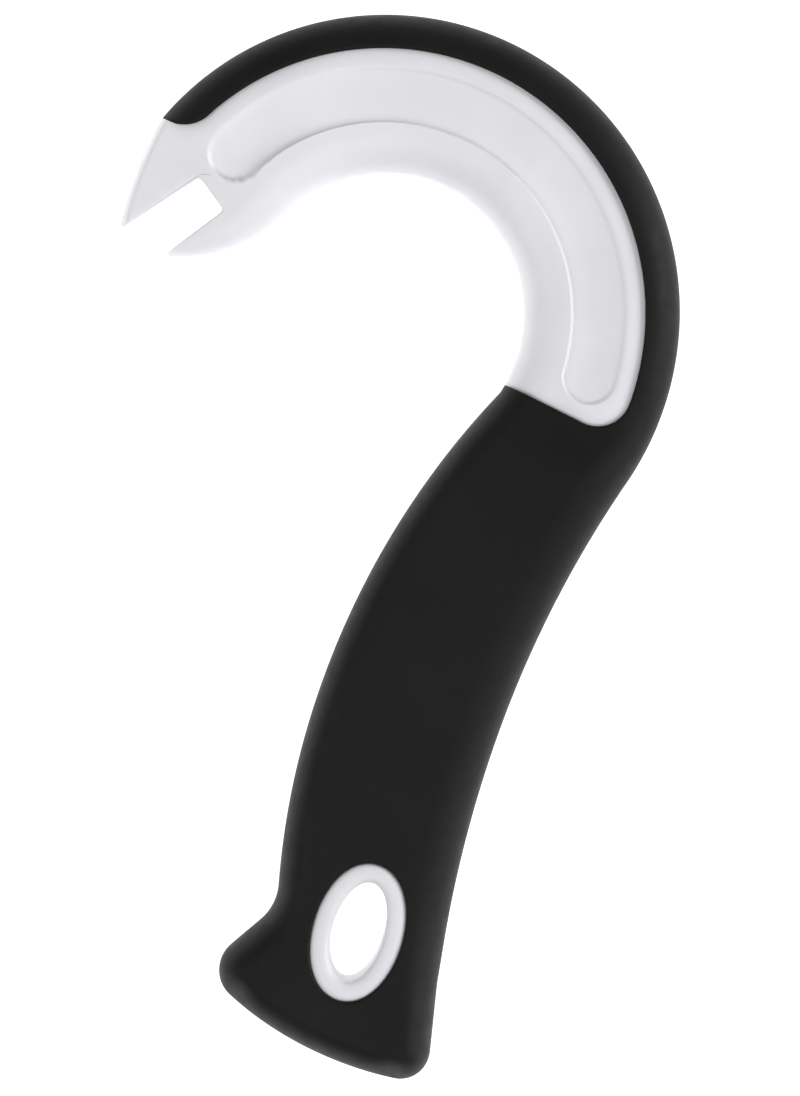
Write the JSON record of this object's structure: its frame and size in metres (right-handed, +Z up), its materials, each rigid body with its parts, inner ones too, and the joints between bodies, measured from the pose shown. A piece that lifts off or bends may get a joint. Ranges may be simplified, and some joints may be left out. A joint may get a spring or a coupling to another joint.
{
  "type": "ring-pull opener",
  "caption": "J-shaped kitchen lever with a forked hard white hook and a soft black handle with an oval hanging hole, for lifting the ring on a can's lid.",
  "frame": {"origin": "middle of the tool's outline, on the surface it lies on", "axes": "+Z up through the tool's thickness, +Y from the heel to the hook's crown, +X towards the hook's back"},
  "size_m": [0.0922, 0.175, 0.0156],
  "materials": {
    "hard_white": "satin moulded nylon, cool white",
    "soft_black": "fine matt thermoplastic elastomer, near black",
    "eyelet_white": "satin moulded plastic, cool white"
  },
  "bodies": {
    "root": {"hook_core": "hard_white", "soft_grip": "soft_black", "hanging_eyelet": "eyelet_white"}
  },
  "joints": []
}
